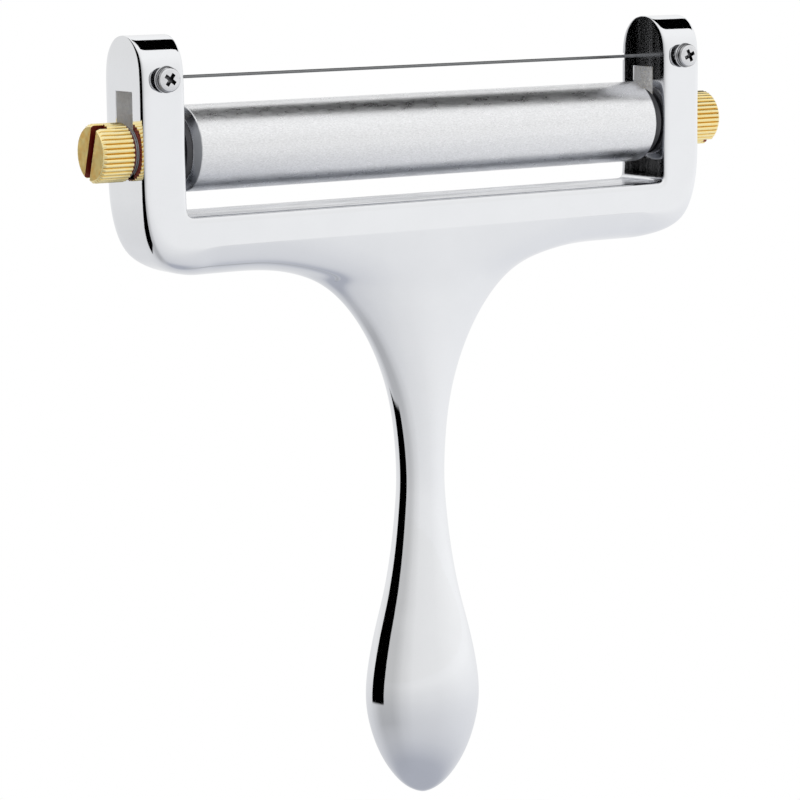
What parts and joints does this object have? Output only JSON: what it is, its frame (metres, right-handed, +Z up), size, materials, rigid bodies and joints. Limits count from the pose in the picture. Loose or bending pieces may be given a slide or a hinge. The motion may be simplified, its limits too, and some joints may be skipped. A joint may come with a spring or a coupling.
{
  "type": "adjustable wire cheese slicer",
  "caption": "Hand-held cheese slicer: a chromed yoke on a swelling handle, with a taut cutting wire above a roller whose height sets the slice.",
  "frame": {"origin": "on the handle's axis, at the thickest place of its grip", "axes": "+Z up the handle towards the roller and the arm tips, +X along the roller to the right as seen from the front, -Y out of the front face that carries the wire screws, +Y out of the back face where the wire runs"},
  "size_m": [0.1244, 0.017, 0.1329],
  "materials": {
    "chrome_casting": "polished chrome plate",
    "satin_aluminium": "satin, turned",
    "dark_plastic": "moulded, matte",
    "plain_steel": "bright drawn",
    "brass": "polished, knurled",
    "wire_steel": "drawn wire",
    "plated_steel": "nickel plate"
  },
  "bodies": {
    "yoke": {"frame": "chrome_casting", "cutting_wire": "wire_steel", "left_wire_screw": "plated_steel", "right_wire_screw": "plated_steel", "left_wire_washer": "plated_steel", "right_wire_washer": "plated_steel"},
    "axle": {"roller_axle": "plain_steel"},
    "roller": {"roller_tube": "satin_aluminium", "left_roller_bush": "dark_plastic", "right_roller_bush": "dark_plastic"},
    "left_washer": {"left_thumb_washer": "plain_steel"},
    "left_thumb": {"left_thumb_screw": "brass"},
    "right_washer": {"right_thumb_washer": "plain_steel"},
    "right_thumb": {"right_thumb_screw": "brass"}
  },
  "joints": [
    {"name": "slice_setting", "type": "slide", "parent": "yoke", "child": "axle", "axis": [0, 0, 1], "range_m": [-0.0016, 0.0061]},
    {"name": "roller_spin", "type": "hinge", "parent": "axle", "child": "roller", "pos_m": [0, 0, 0.0955], "axis": [1, 0, 0], "continuous": true},
    {"name": "left_thumb_turn", "type": "hinge", "parent": "left_washer", "child": "left_thumb", "pos_m": [-0.0563, 0, 0.0955], "axis": [-1, 0, 0], "range_deg": [0, 720]},
    {"name": "left_thumb_travel", "type": "slide", "parent": "axle", "child": "left_washer", "axis": [-1, 0, 0], "range_m": [0, 0.0016]},
    {"name": "right_thumb_turn", "type": "hinge", "parent": "right_washer", "child": "right_thumb", "pos_m": [0.0563, 0, 0.0955], "axis": [1, 0, 0], "range_deg": [0, 720]},
    {"name": "right_thumb_travel", "type": "slide", "parent": "axle", "child": "right_washer", "axis": [1, 0, 0], "range_m": [0, 0.0016]}
  ],
  "couplings": [
    {"joint": "left_thumb_turn", "follows": "left_thumb_travel", "rad_per_m": 7854},
    {"joint": "right_thumb_turn", "follows": "right_thumb_travel", "rad_per_m": 7854}
  ]
}
